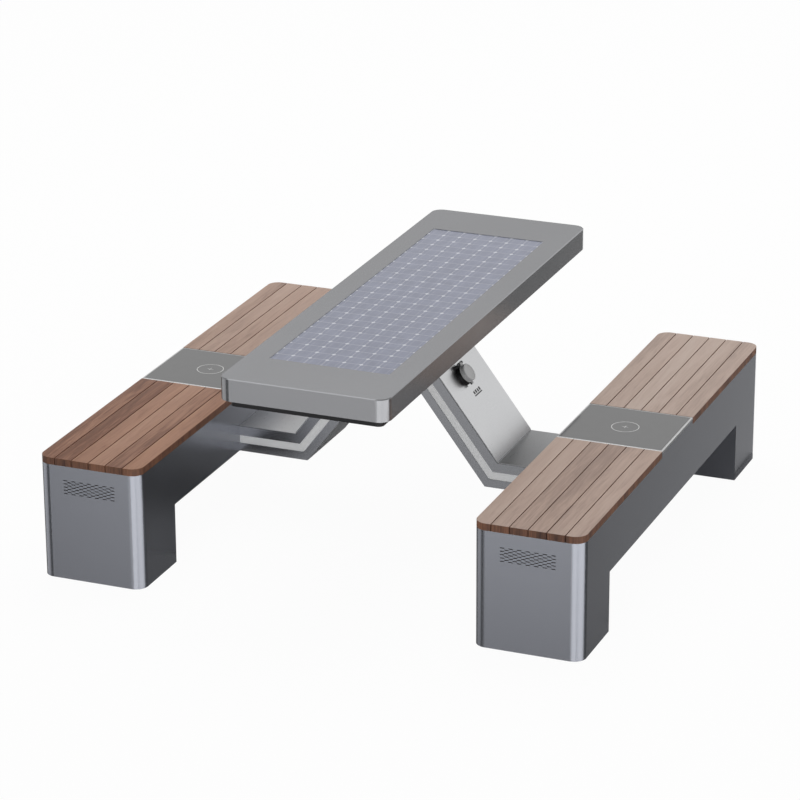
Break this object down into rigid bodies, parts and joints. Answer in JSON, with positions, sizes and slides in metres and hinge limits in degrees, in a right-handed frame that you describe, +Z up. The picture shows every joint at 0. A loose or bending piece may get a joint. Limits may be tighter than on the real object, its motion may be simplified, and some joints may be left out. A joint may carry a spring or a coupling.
{
  "type": "solar charging bench",
  "caption": "Street furniture set: slatted benches with flush wireless charging pads, joined by folded lit arms to a long table topped by a solar panel, with flip-lid sockets.",
  "frame": {"origin": "on the ground, at the centre of the set's footprint", "axes": "+X across the benches to the right-hand bench, +Y along the benches away from the picture's camera, +Z up"},
  "size_m": [2, 2, 0.832],
  "materials": {
    "seat_wood": "oiled hardwood boards",
    "bench_metal": "satin metallic grey powder coat",
    "batten": "mill finish",
    "bezel_metal": "satin",
    "pad_glass": "grey back-printed, glossy",
    "charger_coils": "potted copper winding on ferrite",
    "base_plate": "zinc primed steel",
    "batteries": "moulded case",
    "charge_controller": "anodised",
    "inverter": "finned casting",
    "arm_metal": "satin grey powder coat",
    "arm_cover": "fine brushed",
    "led_diffusers": "opal",
    "led_boards": "white solder mask",
    "table_frame": "satin grey powder coat",
    "table_pan": "black powder coat",
    "solar_glass": "tempered, low reflection",
    "solar_cells": "silicon cells",
    "solar_backsheet": "white film",
    "junction_box": "moulded",
    "socket_base": "moulded, black",
    "socket_lid": "moulded, grey",
    "socket_seals": "moulded",
    "hinge_pins": "ground",
    "wiring": "cable conduit",
    "fasteners": "zinc plated"
  },
  "bodies": {
    "root": {"slat_left_front_1": "seat_wood", "slat_left_front_2": "seat_wood", "slat_left_front_3": "seat_wood", "slat_left_front_4": "seat_wood", "slat_left_front_5": "seat_wood", "slat_left_front_6": "seat_wood", "slat_left_back_1": "seat_wood", "slat_left_back_2": "seat_wood", "slat_left_back_3": "seat_wood", "slat_left_back_4": "seat_wood", "slat_left_back_5": "seat_wood", "slat_left_back_6": "seat_wood", "slat_right_front_1": "seat_wood", "slat_right_front_2": "seat_wood", "slat_right_front_3": "seat_wood", "slat_right_front_4": "seat_wood", "slat_right_front_5": "seat_wood", "slat_right_front_6": "seat_wood", "slat_right_back_1": "seat_wood", "slat_right_back_2": "seat_wood", "slat_right_back_3": "seat_wood", "slat_right_back_4": "seat_wood", "slat_right_back_5": "seat_wood", "slat_right_back_6": "seat_wood", "base_plate_left_front": "base_plate", "base_plate_left_back": "base_plate", "base_plate_right_front": "base_plate", "base_plate_right_back": "base_plate", "bench_shell_left": "bench_metal", "seat_battens_left": "batten", "charger_bezel_left": "bezel_metal", "charger_glass_left": "pad_glass", "arm_frame_left": "arm_metal", "arm_covers_left": "arm_cover", "socket_base_left": "socket_base", "bench_shell_right": "bench_metal", "seat_battens_right": "batten", "charger_bezel_right": "bezel_metal", "charger_glass_right": "pad_glass", "arm_frame_right": "arm_metal", "arm_covers_right": "arm_cover", "socket_base_right": "socket_base", "charger_coils": "charger_coils", "batteries": "batteries", "charge_controller": "charge_controller", "inverter": "inverter", "led_diffusers": "led_diffusers", "led_boards": "led_boards", "table_frame": "table_frame", "table_pan": "table_pan", "solar_glass": "solar_glass", "solar_cells": "solar_cells", "solar_backsheet": "solar_backsheet", "junction_box": "junction_box", "socket_seals": "socket_seals", "hinge_pins": "hinge_pins", "wiring": "wiring", "fasteners": "fasteners"},
    "lid_left": {"socket_lid_left": "socket_lid"},
    "lid_right": {"socket_lid_right": "socket_lid"}
  },
  "joints": [
    {"name": "lid_left_hinge", "type": "hinge", "parent": "root", "child": "lid_left", "pos_m": [-0.18974, -0.025, 0.61394], "axis": [0, 1, 0], "range_deg": [0, 110]},
    {"name": "lid_right_hinge", "type": "hinge", "parent": "root", "child": "lid_right", "pos_m": [0.18974, -0.025, 0.61394], "axis": [0, -1, 0], "range_deg": [0, 110]}
  ]
}
